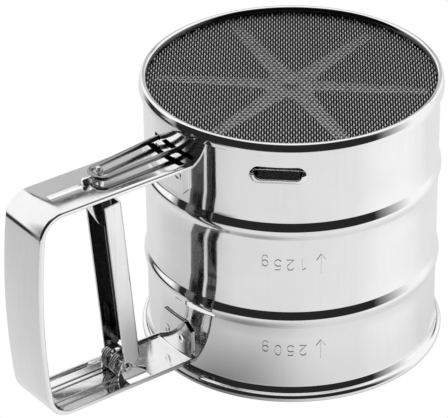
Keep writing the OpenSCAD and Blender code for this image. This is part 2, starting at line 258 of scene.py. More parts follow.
    @staticmethod
    def wire(name: str, runs: Sequence[Sequence[Point3]], thick: float, sides: int = 3) -> bpy.types.Object:
        """Draws round wire along one or more runs of points.

        Args:
            name: Name of the new object.
            runs: Each run's points in mm.
            thick: Diameter in mm.
            sides: Bevel resolution; the section has 2 * (sides + 2) sides.

        Returns:
            The wire as a mesh.
        """
        Bench.clear()
        bpy.ops.curve.primitive_nurbs_path_add()
        obj = bpy.context.object
        obj.name = obj.data.name = name
        curve = obj.data
        curve.splines.clear()
        for run in runs:
            spline = curve.splines.new("POLY")
            spline.points.add(len(run) - 1)
            for point, place in zip(spline.points, run):
                point.co = (*(Vector(place) * MM), 1.0)
        curve.dimensions = "3D"
        curve.bevel_depth = thick / 2 * MM
        curve.bevel_resolution = sides
        curve.use_fill_caps = True
        Bench.pick(obj)
        obj.location = (0, 0, 0)
        bpy.ops.object.convert(target="MESH")
        return Bench.clean(bpy.context.object, 50, 0.0005)


class Shape:
    """Flat outlines and routes, in millimetres."""

    @staticmethod
    def arc(cx: float, cy: float, r: float, start: float, stop: float, steps: int) -> list[Point2]:
        """Points of an arc about (cx, cy), both ends included, angles in degrees."""
        turns = [math.radians(start + (stop - start) * i / steps) for i in range(steps + 1)]
        return [(cx + r * math.cos(a), cy + r * math.sin(a)) for a in turns]

    @staticmethod
    def rounded(corners: Sequence[Sequence[float]], radii: Sequence[float], steps: int = 6, closed: bool = True) -> list:
        """Rounds the corners of a route in two or three dimensions.

        Args:
            corners: Corner points.
            radii: One radius per corner; 0 leaves it sharp.
            steps: Points per bend, less one.
            closed: Whether the last corner joins the first.

        Returns:
            The rounded route, with points of the same dimension.
        """
        route = []
        count = len(corners)
        size = len(corners[0])
        for i, (corner, radius) in enumerate(zip(corners, radii)):
            here = Vector((*corner, 0.0)[:3])
            if radius <= 0 or (not closed and i in (0, count - 1)):
                route.append(tuple(here[:size]))
                continue
            back = (Vector((*corners[i - 1], 0.0)[:3]) - here).normalized()
            ahead = (Vector((*corners[(i + 1) % count], 0.0)[:3]) - here).normalized()
            half = back.angle(ahead) / 2
            eat = radius / math.tan(half)
            centre = here + (back + ahead).normalized() * (radius / math.sin(half))
            first = here + back * eat - centre
            last = here + ahead * eat - centre
            axis = first.cross(last).normalized()
            span = first.angle(last)
            for k in range(steps + 1):
                route.append(tuple((centre + Matrix.Rotation(span * k / steps, 3, axis) @ first)[:size]))
        return route


# ---------------------------------------------------------------- finishes


class Nodes:
    """Small helper that wires shader nodes."""

    def __init__(self, tree: bpy.types.NodeTree) -> None:
        """Keeps the tree to work in."""
        self.tree = tree

    def add(self, kind: str, links: dict | None = None, **values: object) -> bpy.types.Node:
        """Adds a node.

        Args:
            kind: Node type.
            links: Input name or index to a socket or a plain value.
            values: Node properties.

        Returns:
            The new node.
        """
        node = self.tree.nodes.new(kind)
        for key, value in values.items():
            setattr(node, key, value)
        for key, value in (links or {}).items():
            if isinstance(value, bpy.types.NodeSocket):
                self.tree.links.new(value, node.inputs[key])
            else:
                node.inputs[key].default_value = value
        return node

    def math(self, op: str, a: object, b: object = 0.0, clamp: bool = False) -> bpy.types.NodeSocket:
        """A math node's result."""
        return self.add("ShaderNodeMath", {0: a, 1: b}, operation=op, use_clamp=clamp).outputs[0]

    def span(self, value: object, low: float, high: float, out_low: float, out_high: float) -> bpy.types.NodeSocket:
        """A value mapped from one span to another, clamped."""
        return self.add("ShaderNodeMapRange", {0: value, 1: low, 2: high, 3: out_low, 4: out_high}).outputs[0]

    def mix(self, factor: object, a: object, b: object) -> bpy.types.NodeSocket:
        """A mix of two colours."""
        node = self.add("ShaderNodeMix", data_type="RGBA")
        for index, value in ((0, factor), (6, a), (7, b)):
            if isinstance(value, bpy.types.NodeSocket):
                self.tree.links.new(value, node.inputs[index])
            else:
                node.inputs[index].default_value = value
        return node.outputs[2]


def new_group(name: str, inputs: dict[str, tuple[str, object]], outputs: dict[str, str]) -> tuple[Nodes, bpy.types.Node, bpy.types.Node]:
    """Starts a shader node group.

    Args:
        name: Name of the group.
        inputs: Name to (socket type, default).
        outputs: Name to socket type.

    Returns:
        The wiring helper, the group's input node and its output node.
    """
    tree = bpy.data.node_groups.new(name, "ShaderNodeTree")
    for key, (kind, default) in inputs.items():
        socket = tree.interface.new_socket(name=key, in_out="INPUT", socket_type=kind)
        socket.default_value = default
    for key, kind in outputs.items():
        tree.interface.new_socket(name=key, in_out="OUTPUT", socket_type=kind)
    nodes = Nodes(tree)
    return nodes, nodes.add("NodeGroupInput"), nodes.add("NodeGroupOutput")


def scratch_group() -> bpy.types.NodeTree:
    """Fine scratches along one direction, with smudges from handling.

    Returns:
        A group with Mask and Height for the scratches, and Smudge.
    """
    nodes, given, result = new_group(
        "Fine scratches",
        {"Vector": ("NodeSocketVector", (0, 0, 0)), "Scale": ("NodeSocketFloat", 900.0)},
        {"Mask": "NodeSocketFloat", "Height": "NodeSocketFloat", "Smudge": "NodeSocketFloat"},
    )
    long = nodes.add("ShaderNodeMapping", {0: given.outputs["Vector"], 3: (1.0, 1.0, 0.05)})
    fine = nodes.add("ShaderNodeTexNoise", {"Vector": long.outputs[0], "Scale": given.outputs["Scale"], "Detail": 3.0})
    hair = nodes.span(fine.outputs[0], 0.55, 0.72, 0.0, 1.0)
    cross = nodes.add("ShaderNodeMapping", {0: given.outputs["Vector"], 2: (0.5, 0.9, 0.4), 3: (0.05, 1.0, 1.0)})
    stray = nodes.add("ShaderNodeTexNoise", {"Vector": cross.outputs[0], "Scale": given.outputs["Scale"], "Detail": 2.0})
    rare = nodes.span(stray.outputs[0], 0.68, 0.78, 0.0, 1.0)
    both = nodes.math("ADD", hair, rare, True)
    hand = nodes.add("ShaderNodeTexNoise", {"Vector": given.outputs["Vector"], "Scale": 42.0, "Detail": 4.0, "Distortion": 0.6})
    nodes.tree.links.new(both, result.inputs["Mask"])
    nodes.tree.links.new(nodes.math("MULTIPLY", both, -1.0), result.inputs["Height"])
    nodes.tree.links.new(nodes.span(hand.outputs[0], 0.42, 0.7, 0.0, 1.0), result.inputs["Smudge"])
    return nodes.tree


def dimple_group() -> bpy.types.NodeTree:
    """Very shallow waves that pressed sheet shows in its reflections.

    Returns:
        A group with one Height.
    """
    nodes, given, result = new_group(
        "Pressed sheet waves",
        {"Vector": ("NodeSocketVector", (0, 0, 0)), "Scale": ("NodeSocketFloat", 60.0)},
        {"Height": "NodeSocketFloat"},
    )
    wave = nodes.add("ShaderNodeTexNoise", {"Vector": given.outputs["Vector"], "Scale": given.outputs["Scale"], "Detail": 1.0})
    nodes.tree.links.new(wave.outputs[0], result.inputs["Height"])
    return nodes.tree


@dataclass(frozen=True)
class SteelFinish:
    """One finish of stainless steel.

    Args:
        name: Name of the material.
        colour: Reflected colour, 0 to 1 each.
        rough: Roughness where clean.
        smudged: Roughness where handled.
        scratch: Depth of the fine scratches, 0 to 1.
        grain: Scale of the scratches.
        wave: Depth of the pressed waves, 0 to 1.
        wave_scale: Scale of the pressed waves.
        aniso: Anisotropy of the rolled grain.
        inner: Radius in mm inside which the steel gets painted shade, a dark colour, or 0.
        crest: Height in mm below which a woven wire gets painted shade, a dark grey, so that only its tops keep the
            steel colour, or 0.
    """

    name: str
    colour: tuple[float, float, float]
    rough: float = 0.07
    smudged: float = 0.12
    scratch: float = 0.15
    grain: float = 900.0
    wave: float = 0.2
    wave_scale: float = 60.0
    aniso: float = 0.0
    inner: float = 0.0
    crest: float = 0.0

    def build(self, groups: dict[str, bpy.types.NodeTree]) -> bpy.types.Material:
        """Makes the material.

        Args:
            groups: The shared node groups by name.

        Returns:
            The new material.
        """
        material = bpy.data.materials.new(self.name)
        material.use_nodes = True
        material.node_tree.nodes.clear()
        nodes = Nodes(material.node_tree)
        place = nodes.add("ShaderNodeTexCoord").outputs["Object"]
        marks = nodes.add("ShaderNodeGroup", node_tree=groups["scratches"])
        nodes.tree.links.new(place, marks.inputs["Vector"])
        marks.inputs["Scale"].default_value = self.grain
        waves = nodes.add("ShaderNodeGroup", node_tree=groups["waves"])
        nodes.tree.links.new(place, waves.inputs["Vector"])
        waves.inputs["Scale"].default_value = self.wave_scale
        rough = nodes.span(marks.outputs["Smudge"], 0.0, 1.0, self.rough, self.smudged)
        rough = nodes.math("ADD", rough, nodes.math("MULTIPLY", marks.outputs["Mask"], 0.25 * self.scratch), True)
        clean = (*self.colour, 1.0)
        dull = (*(c * 0.86 for c in self.colour), 1.0)
        tint = nodes.mix(nodes.math("MULTIPLY", marks.outputs["Smudge"], 0.3), clean, dull)
        tint = nodes.mix(nodes.math("MULTIPLY", marks.outputs["Mask"], 0.5 * self.scratch), tint, (*(c * 0.7 for c in self.colour), 1.0))
        parts = nodes.add("ShaderNodeSeparateXYZ", {0: place})
        # Painted shade: inside the given radius the colour falls to 0.12 of itself, standing in for the shade inside
        # the cup.
        if self.inner:
            flat = nodes.add("ShaderNodeCombineXYZ", {0: parts.outputs[0], 1: parts.outputs[1]})
            away = nodes.add("ShaderNodeVectorMath", {0: flat.outputs[0]}, operation="LENGTH").outputs["Value"]
            painted_inside_shade = nodes.span(away, self.inner * MM, (self.inner + 0.15) * MM, 1.0, 0.0)
            tint = nodes.mix(painted_inside_shade, tint, (*(c * 0.12 for c in self.colour), 1.0))
        # Painted shade: below its crest a woven wire is dark grey, standing in for the shade on its lower sides; only
        # the tops keep the steel colour.
        if self.crest:
            unshaded_crest = nodes.span(parts.outputs[2], (self.crest - 0.3) * MM, (self.crest - 0.1) * MM, 0.0, 1.0)
            tint = nodes.mix(unshaded_crest, (0.16, 0.16, 0.16, 1.0), tint)
        hair = nodes.add("ShaderNodeBump", {"Strength": self.scratch, "Distance": 0.00001, "Height": marks.outputs["Height"]})
        sheet = nodes.add(
            "ShaderNodeBump",
            {"Strength": self.wave, "Distance": 0.0004, "Height": waves.outputs["Height"], "Normal": hair.outputs[0]},
        )
        steel = nodes.add(
            "ShaderNodeBsdfPrincipled",
            {"Base Color": tint, "Metallic": 1.0, "Roughness": rough, "Anisotropic": self.aniso, "Normal": sheet.outputs[0]},
        )
        nodes.add("ShaderNodeOutputMaterial", {"Surface": steel.outputs[0]})
        return material


class Finish(Enum):
    """The finishes of the sifter's pieces, by the record's material slot."""

    # CUP and RING take inner=: painted shade on their faces that look into the cup.
    CUP = ("cup_steel", SteelFinish("polished cup steel", (0.93, 0.93, 0.93), 0.05, 0.09, 0.12, 700.0, 0.12, 30.0, inner=49.5))
    LIP = ("cup_steel", SteelFinish("pressed lip steel", (0.97, 0.97, 0.97), 0.12, 0.16, 0.1, 900.0, 0.1, 60.0))
    RING = ("ring_steel", SteelFinish("polished ring steel", (0.93, 0.93, 0.93), 0.06, 0.11, 0.2, 900.0, 0.12, 60.0, inner=48.95))
    MESH = ("mesh_wire", SteelFinish("woven wire steel", (0.97, 0.97, 0.97), 0.3, 0.35, 0.1, 2500.0, 0.0, 60.0, crest=96.33))
    STRAP = ("strap_steel", SteelFinish("polished strap steel", (0.93, 0.93, 0.93), 0.09, 0.13, 0.2, 800.0, 0.12, 40.0))
    TRIGGER = ("trigger_steel", SteelFinish("pressed trigger steel", (0.92, 0.92, 0.92), 0.1, 0.16, 0.4, 900.0, 0.3, 70.0))
    RIVET = ("rivet_steel", SteelFinish("turned rivet steel", (0.78, 0.78, 0.78), 0.2, 0.3, 0.3, 1500.0, 0.0, 60.0))
    SPRING = ("spring_steel", SteelFinish("spring wire", (0.66, 0.66, 0.66), 0.08, 0.14, 0.3, 1600.0, 0.0, 60.0))
    WIRE = ("wire_steel", SteelFinish("drawn wire", (0.34, 0.34, 0.34), 0.07, 0.12, 0.2, 1600.0, 0.0, 60.0))
    # The next four finishes are painted shade and painted shadow, dark colours that stand in for shade: inside the
    # grip, at the tabs' edges, inside the trigger's channel and on the parts under the stirrer.
    INSIDE = ("strap_steel", SteelFinish("painted shade inner strap", (0.09, 0.09, 0.09), 0.12, 0.2, 0.5, 900.0, 0.3, 70.0))
    SEAM = ("strap_steel", SteelFinish("painted shadow strap edge", (0.05, 0.05, 0.05), 0.3, 0.4, 0.5, 900.0, 0.0, 70.0))
    CHANNEL = ("trigger_steel", SteelFinish("painted shade channel steel", (0.19, 0.19, 0.19), 0.12, 0.2, 0.5, 900.0, 0.3, 70.0))
    BAR = ("stirrer_steel", SteelFinish("painted shade bar steel", (0.07, 0.07, 0.07), 0.2, 0.3, 0.4, 700.0, 0.1, 40.0))
    STIRRER = ("stirrer_steel", SteelFinish("rolled stirrer steel", (0.97, 0.97, 0.97), 0.5, 0.6, 0.2, 700.0, 0.1, 40.0))


class FinishShelf:
    """Builds each finish once and puts it on pieces."""

    def __init__(self) -> None:
        """Builds the shared groups and the materials."""
        groups = {"scratches": scratch_group(), "waves": dimple_group()}
        self.materials = {finish: finish.value[1].build(groups) for finish in Finish}

    def dress(self, piece: bpy.types.Object, finish: Finish, body: str, *nodes: str) -> bpy.types.Object:
        """Puts a finish on a new piece and ties it to the frame.

        Args:
            piece: The finished mesh.
            finish: Its finish.
            body: The body it rides on.
            nodes: The nodes it stands for.

        Returns:
            The same piece.
        """
        piece.data.materials.clear()
        piece.data.materials.append(self.materials[finish])
        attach(piece, body)
        if nodes:
            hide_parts(*nodes)
        LOG.info("%s on %s: %d faces", piece.name, body, len(piece.data.polygons))
        return piece

    def repaint(self, node: bpy.types.Object, finish: Finish) -> None:
        """Gives a node of the frame a finish."""
        node.data.materials.clear()
        node.data.materials.append(self.materials[finish])


# ---------------------------------------------------------------- the handle's own frame


def at_handle(point: Point3) -> Point3:
    """A point (reach, across, height) of the handle, turned to the -X side."""
    return (-point[0], -point[1], point[2])


HANDLE_TURN = Matrix.Rotation(math.pi, 4, "Z")


@dataclass
class Cup:
    """The cup's wall with its ribs, rolled mouth, slots and capacity marks."""

    radius: float = 50.0
    wall: float = 0.6
    top: float = 95.65
    rib_at: tuple[float, float] = (31.5, 65.5)
    rib_width: float = 6.8
    rib_height: float = 1.0
    bead: float = 1.6
    mouth: float = 52.5
    flare_top: float = 6.0
    slot_width: float = 18.0
    slot_height: float = 5.7
    slot_low: float = 83.9
    bar_turn: float = 47.0
    wire_holes: tuple[Point2, ...] = ((2.18, 3.0), (-8.85, 3.9))
    wire_hole_height: float = 2.1
    wire_at: float = 86.6
    around: int = 288
    stroke: float = 0.3

    def rib(self, wall: float, middle: float) -> list[Point2]:
        """Points of one rib, from its foot to its head, with softened foot and head."""
        half, high = self.rib_width / 2, self.rib_height
        points = []
        for i in range(25):
            t = -1 + 2 * i / 24
            points.append((wall + high * math.cos(t * math.pi / 2) ** 1.35, middle + half * t))
        return points

    def profile(self) -> list[Point2]:
        """The wall's section, up the outside and down the inside."""
        inner = self.radius - self.wall
        bead_x, bead_z = self.mouth - self.bead, self.bead - 0.15
        run, drop = bead_x - self.radius, self.flare_top - bead_z - self.bead
        bend = 2 * math.degrees(math.atan(run / drop))
        flare_r = drop / math.sin(math.radians(bend))
        foot = math.degrees(math.asin(bead_z / self.bead))
        outside = Shape.arc(bead_x, bead_z, self.bead, -foot, 90, 20)
        outside += Shape.arc(self.radius + flare_r, self.flare_top, flare_r, 180 + bend, 180, 10)
        for z in (12.0, 18.0, 24.0):
            outside.append((self.radius, z))
        outside += self.rib(self.radius, self.rib_at[0])
        for z in (42.0, 50.0, 58.0):
            outside.append((self.radius, z))
        outside += self.rib(self.radius, self.rib_at[1])
        for z in (76.0, 82.0, 88.0, self.top):
            outside.append((self.radius, z))
        inside = [(inner, self.top)] + self.rib(inner, self.rib_at[1])[::-1] + self.rib(inner, self.rib_at[0])[::-1]
        return [(inner, 0.0)] + outside + inside

    def slot_tool(self, azimuth: float, offset: float, size: Point2, middle: float) -> bpy.types.Object:
        """A round-ended cutter through the wall.

        Args:
            azimuth: Where it looks, in degrees.
            offset: Sideways place in mm.
            size: Overall width and height in mm.
            middle: Height of its middle in mm.

        Returns:
            The cutter.
        """
        half, tall = size[0] / 2, size[1] / 2
        corner = [(-half, -tall), (half, -tall), (half, tall), (-half, tall)]
        shape = Shape.rounded(corner, [tall * 0.98] * 4, 10)
        tool = Bench.press("slot_tool", shape, 12.0, 0.0)
        stand = Matrix.Rotation(math.radians(azimuth), 4, "Z") @ Matrix.Translation(
            Vector((self.radius - 6, offset, middle)) * MM
        )
        upright = Matrix(((0, 0, 1, 0), (1, 0, 0, 0), (0, 1, 0, 0), (0, 0, 0, 1)))
        return Bench.place(tool, stand @ upright)

    def wall_piece(self, shelf: FinishShelf) -> None:
        """Turns the wall and cuts the bar's slot and the wire's two holes."""
        cup = Bench.turn("cup_wall", self.profile(), self.around)
        slot = (self.slot_width, self.slot_height)
        tools = [self.slot_tool(180 + self.bar_turn, 0, slot, self.slot_low + self.slot_height / 2)]
        for at, width in self.wire_holes:
            tools.append(self.slot_tool(180, at, (width, self.wire_hole_height), self.wire_at))
        Bench.cut(cup, *tools)
        Bench.clean(cup, 35)
        shelf.dress(cup, Finish.CUP, "cup", "cup_body")

    def on_wall(self, azimuth: float, across: float, z: float, out: float) -> Point3:
        """A point on the wall, from a sideways distance along it."""
        turn = math.radians(azimuth) + across / self.radius
        return ((self.radius + out) * math.cos(turn), (self.radius + out) * math.sin(turn), z)

    def slot_lip(self, shelf: FinishShelf) -> None:
        """The lip pressed outwards along the lower edge and the ends of the side slot."""
        half, tall = self.slot_width / 2, self.slot_height / 2
        corner = [(-half, -tall), (half, -tall), (half, tall), (-half, tall)]
        loop = Shape.rounded(corner, [tall * 0.98] * 4, 14)
        low = [p for p in loop if p[1] < tall * 0.55]
        middle = (0.0, tall * 0.2)
        # the lip's section: (outwards from the slot's edge, out from the wall)
        section = [(-2.5, 0.25), (-2.46, 0.6), (-2.2, 0.78), (-1.2, 0.64), (-0.3, 0.46), (0.4, 0.26), (1.0, -0.02), (1.05, -0.5)]
        Bench.clear()
        bpy.ops.mesh.primitive_grid_add(x_subdivisions=len(low) - 1, y_subdivisions=len(section) - 1, size=MM)
        lip = bpy.context.object
        lip.name = lip.data.name = "slot_lip"
        columns = len(low)
        for index, vertex in enumerate(lip.data.vertices):
            row, column = divmod(index, columns)
            x, y = low[column]
            away = (Vector((x, y)) - Vector(middle)).normalized()
            fade = min(1.0, (tall * 0.62 - y) / (tall * 0.7))
            step, out = section[row]
            step *= fade
            out = out * fade - 0.12 * (1 - fade)
            vertex.co = Vector(
                self.on_wall(180 + self.bar_turn, x + away.x * step * 0.55, self.slot_low + tall + y + away.y * step, out)
            ) * MM
        Bench.modify(lip, "SOLIDIFY", thickness=0.3 * MM, offset=0.0)
        Bench.modify(lip, "SUBSURF", levels=1, render_levels=1)
        shelf.dress(Bench.clean(lip, 60), Finish.LIP, "cup")

    def marks(self, shelf: FinishShelf) -> None:
        """Capacity marks: each a figure and an arrow, struck into the wall to be read with the mouth up."""
        glyphs: dict[str, list[list[Point2]]] = {
            "1": [[(0.1, 0.8), (0.45, 1.0), (0.45, 0.0)]],
            "2": [Shape.arc(0.35, 0.7, 0.3, 160, -30, 8) + [(0.05, 0.0), (0.68, 0.0)]],
            "5": [[(0.62, 1.0), (0.14, 1.0), (0.08, 0.55)] + Shape.arc(0.33, 0.32, 0.32, 110, -150, 9)],
            "0": [[(0.35 + 0.3 * math.cos(a * math.tau / 16), 0.5 + 0.5 * math.sin(a * math.tau / 16)) for a in range(17)]],
            "g": [
                [(0.35 + 0.27 * math.cos(a * math.tau / 14), 0.4 + 0.3 * math.sin(a * math.tau / 14)) for a in range(15)],
                [(0.62, 0.7), (0.62, -0.1)] + Shape.arc(0.35, -0.1, 0.27, 0, -160, 6),
            ],
        }
        runs = []
        for figure, z in (("125g", 53.0), ("250g", 19.6)):
            cursor = -5.2
            for letter in figure:
                for run in glyphs[letter]:
                    points = [(cursor + x * 3.6, y * 3.9) for x, y in run]
                    runs.append([self.on_wall(232, -x, z + 2.0 - y, 0.02) for x, y in points])
                cursor += 4.2
            for run in ([(0, 0), (0, 7.4)], [(-1.5, 5.2), (0, 7.4), (1.5, 5.2)]):
                runs.append([self.on_wall(243.3, x, z - 3.6 + y, 0.02) for x, y in run])
        marks = Bench.wire("capacity_marks", runs, self.stroke, 1)
        shelf.dress(marks, Finish.RIVET, "cup")


@dataclass
class Sieve:
    """The rolled ring and the woven mesh that it grips."""

    wall_radius: float = 50.05
    ring_radius: float = 51.3
    ring_low: float = 94.3
    top: float = 98.5
    hole: float = 48.6
    mesh_mid: float = 95.9
    mesh_radius: float = 48.9
    warp_pitch: float = 0.845
    weft_pitch: float = 1.735
    warp_wire: float = 0.5
    weft_wire: float = 0.28
    warp_lift: float = 0.3
    weft_lift: float = 0.06
    weave_turn: float = 52.0

    def ring_piece(self, shelf: FinishShelf) -> None:
        """Turns the ring with its sloping side and rounded crest."""
        out, top, low = self.ring_radius, self.top, self.ring_low
        side = [(self.wall_radius, low), (out - 0.25, low), (out, low + 0.25), (out - 0.02, low + 1.4)]
        side += [(out - 0.2, low + 2.5), (out - 0.5, low + 3.3)]
        crest = Shape.arc(out - 1.45, top - 1.0, 1.0, 25, 150, 14)
        inner = [(self.hole, top - 1.2), (self.hole, 96.35), (self.wall_radius, 96.35)]
        profile = side + crest + inner
        shelf.dress(Bench.turn("sieve_ring_rolled", profile, 288), Finish.RING, "cup", "sieve_ring")

    def strand(self, offset: float, phase: int, pitch: float, lift: float) -> list[Point3]:
        """One wire of the weave, along its own first direction.

        Args:
            offset: Its sideways place in mm.
            phase: 0 or 1, whether it starts over or under.
            pitch: Distance between the wires that it crosses, in mm.
            lift: How far it rises over and dips under them, in mm.

        Returns:
            Its points in mm, before the weave is turned.
        """
        half = math.sqrt(max(self.mesh_radius**2 - offset**2, 0.0))
        last = math.floor(half / pitch)
        points = [(-half, 0.0)]
        for k in range(-last, last + 1):
            points.append((k * pitch, lift if (k + phase) % 2 else -lift))
        points.append((half, 0.0))
        return [(x, offset, self.mesh_mid + z) for x, z in points]

    def mesh_pieces(self, shelf: FinishShelf) -> None:
        """Weaves the two sets of wires."""
        sets = (
            ("mesh_warp", self.warp_pitch, self.weft_pitch, self.warp_wire, self.warp_lift, 0),
            ("mesh_weft", self.weft_pitch, self.warp_pitch, self.weft_wire, self.weft_lift, 90),
        )
        for name, spacing, pitch, wire, lift, turn in sets:
            count = int(self.mesh_radius / spacing)
            phase = 1 if turn else 0
            runs = [self.strand(k * spacing, (k + phase) % 2, pitch, lift) for k in range(-count, count + 1)]
            strands = Bench.wire(name, runs, wire, 1)
            Bench.place(strands, Matrix.Rotation(math.radians(self.weave_turn + turn), 4, "Z"))
            shelf.dress(strands, Finish.MESH, "cup", "sieve_mesh")


@dataclass
class Handle:
    """The strap handle, welded to the cup by a tab at each arm."""

    grip: float = 110.6
    width: float = 21.0
    thick: float = 0.8
    lip: float = 1.8
    low: float = 7.4
    high: float = 84.6
    bend: float = 9.0
    bow: float = 250.0
    cup: float = 50.05
    tab: float = 18.0
    guide: tuple[float, float, float] = (74.62, 98.55, 2.4)
    hinge: tuple[float, float] = (74.2, 13.2)
    ear_out: float = 5.3

    def section(self) -> list[Point3]:
        """The strap's closed section at the start of the upper arm, across and down."""
        half, t, lip = self.width / 2, self.thick, self.lip
        corners = [(-half, -lip), (-half, 0), (half, 0), (half, -lip), (half - t, -lip), (half - t, -t), (t - half, -t), (t - half, -lip)]
        radii = [0.3, 0.75, 0.75, 0.3, 0.3, 0.25, 0.25, 0.3]
        return [(40.0, y, self.high + z) for y, z in Shape.rounded(corners, radii, 5)]

    def strap(self) -> bpy.types.Object:
        """Draws the section round the arms, bends and grip."""
        middle, half = (self.low + self.high) / 2, (self.high - self.low) / 2
        bow = math.asin((half - self.bend) / (self.bow - self.bend))
        bend_x = self.grip - self.bow + (self.bow - self.bend) * math.cos(bow)
        obj = Bench.outline("strap", self.section())
        side = (0, 1, 0)

        def spin(x: float, z: float, angle: float, steps: int) -> Callable[[], object]:
            """A turn of the strap about a line across it."""
            centre = (x * MM, 0, z * MM)
            return lambda: bpy.ops.mesh.spin(steps=steps, angle=-angle, center=centre, axis=side)

        def straight(length: float) -> Callable[[], object]:
            """A straight run of the strap along its reach."""
            return lambda: bpy.ops.mesh.extrude_region_move(TRANSFORM_OT_translate={"value": (length * MM, 0, 0)})

        Bench.edit(
            obj,
            straight(bend_x - 40.0),
            spin(bend_x, self.high - self.bend, math.pi / 2 - bow, 18),
            spin(self.grip - self.bow, middle, 2 * bow, 32),
            spin(bend_x, self.low + self.bend, math.pi / 2 - bow, 18),
            straight(40.0 - bend_x),
        )
        Bench.clean(obj, 40)
        return obj

    def tab_piece(self, z0: float, length: float, sign: int) -> bpy.types.Object:
        """A tab bent from an arm to lie on the wall.

        Args:
            z0: The arm's outer face in mm.
            length: Length from that face in mm.
            sign: 1 if it goes up from the arm, -1 if down.

        Returns:
            The tab.
        """
        t, corner = self.thick, 1.5
        route = [(self.cup + 4, 0), (self.cup, 0), (self.cup, length), (self.cup + t, length), (self.cup + t, t), (self.cup + 4, t)]
        flat = Shape.rounded(route, [0, corner, 0.2, 0.2, corner - t, 0], 5)
        tab = Bench.outline("tab", [(x, -self.tab / 2, z0 + sign * z) for x, z in flat])
        Bench.edit(
            tab,
            *[lambda: bpy.ops.mesh.extrude_region_move(TRANSFORM_OT_translate={"value": (0, self.tab / 24 * MM, 0)})] * 24,
        )
        Bench.edit(
            tab,
            lambda: bpy.ops.mesh.select_all(action="DESELECT"),
            lambda: bpy.ops.mesh.select_non_manifold(),
            lambda: bpy.ops.mesh.edge_face_add() if False else bpy.ops.mesh.fill_holes(sides=0),
        )
        Bench.clean(tab, 40)
        half = self.tab / 2
        for side in (-1, 1):
            cutter = Bench.press(
                "corner", [(side * (half - 3), length), (side * (half + 1), length + 1), (side * half, length - 3)], 20, 0.0
            )
            swap = Matrix(((0, 0, 1, self.cup * MM - 0.01), (1, 0, 0, 0), (0, sign, 0, z0 * MM), (0, 0, 0, 1)))
            Bench.cut(tab, Bench.clean(Bench.place(cutter, swap)))
        for vertex in tab.data.vertices:
            y = vertex.co.y / MM
            vertex.co.x -= (self.cup - math.sqrt(self.cup**2 - y * y)) * MM
        return Bench.clean(tab, 40)

    def ear(self, y0: float) -> bpy.types.Object:
        """An ear lanced up from the lower arm, with the hinge pin's hole."""
        x, z = self.hinge
        base = self.low + 0.3 - z
        shape = [(-8.0, base), (3.5, base), (2.5, 0.0)] + Shape.arc(0, 0, 2.5, 10, 170, 14) + [(-2.8, -0.6), (-8.0, base + 1.9)]
        ear = Bench.press("ear", shape, self.thick, 0.15)
        stand = Matrix(((1, 0, 0, x * MM), (0, 0, -1, (y0 + self.thick) * MM), (0, 1, 0, z * MM), (0, 0, 0, 1)))
        return Bench.place(ear, stand)

    def build(self, shelf: FinishShelf) -> None:
        """Makes the whole handle and ties it to the cup."""
        strap = self.strap()
        Bench.cut(strap, Bench.drum(self.cup, -5, 100, 288))
        inner, outer, wide = self.guide
        x = self.hinge[0]
        Bench.cut(strap, Bench.box((inner, -wide / 2, self.high - 2), (outer, wide / 2, self.high + 2)))
        for side in (-1, 1):
            near, far = sorted((side * self.ear_out, side * (self.ear_out + 3.4)))
            Bench.cut(strap, Bench.box((x - 8, near, self.low - 1), (x + 1, far, self.low + 2)))
        Bench.clean(strap, 35)
        parts = [
            strap,
            self.tab_piece(self.high, 13.0, -1),
            self.tab_piece(self.low, 14.3, 1),
            self.ear(self.ear_out - self.thick),
            self.ear(-self.ear_out),
        ]
        handle = Bench.join("handle_strap_formed", *parts)
        Bench.place(handle, HANDLE_TURN)
        shelf.dress(handle, Finish.STRAP, "cup", "handle_strap")
        self.shade_inside(handle, shelf)
        self.welds(shelf)

    def shade_inside(self, handle: bpy.types.Object, shelf: FinishShelf) -> None:
        """Gives the grip's inner side painted shade, a near-black steel colour, and the tabs' edge faces a painted
        shadow line.
        """
        handle.data.materials.append(shelf.materials[Finish.INSIDE])
        handle.data.materials.append(shelf.materials[Finish.SEAM])
        for face in handle.data.polygons:
            x, y, _ = face.center / MM
            near = math.hypot(x, y)
            outward = (face.normal.x * x + face.normal.y * y) / near
            # Painted shade: the grip's faces that look towards the cup.
            if x < -88 and face.normal.x > 0.2 and abs(y) < self.width / 2 - self.thick:
                face.material_index = 1
            # Painted shadow: the tabs' edge faces next to the wall, standing in for the shadow in the gap between tab
            # and wall.
            elif near < self.cup + self.thick + 0.15 and abs(outward) < 0.6:
                face.material_index = 2

    def welds(self, shelf: FinishShelf) -> None:
        """Spot welds on the tabs: a shallow pressed dimple each."""
        spots = []
        for across, z in ((-4.2, 14.6), (4.2, 14.6), (-4.2, 78.0), (4.2, 78.0)):
            ring = [(0.0, 0.05), (0.7, 0.04), (1.0, 0.16), (1.35, 0.2), (1.7, 0.1), (1.85, -0.1), (0.0, -0.1)]
            spot = Bench.turn("weld", ring, 32)
            reach = math.sqrt((self.cup + self.thick) ** 2 - across**2)
            lean = math.asin(across / (self.cup + self.thick))
            stand = (
                HANDLE_TURN
                @ Matrix.Translation(Vector((reach, across, z)) * MM)
                @ Matrix.Rotation(lean, 4, "Z")
                @ Matrix.Rotation(math.pi / 2, 4, "Y")
            )
            spots.append(Bench.place(spot, stand))
        shelf.dress(Bench.join("spot_welds", *spots), Finish.STRAP, "cup")


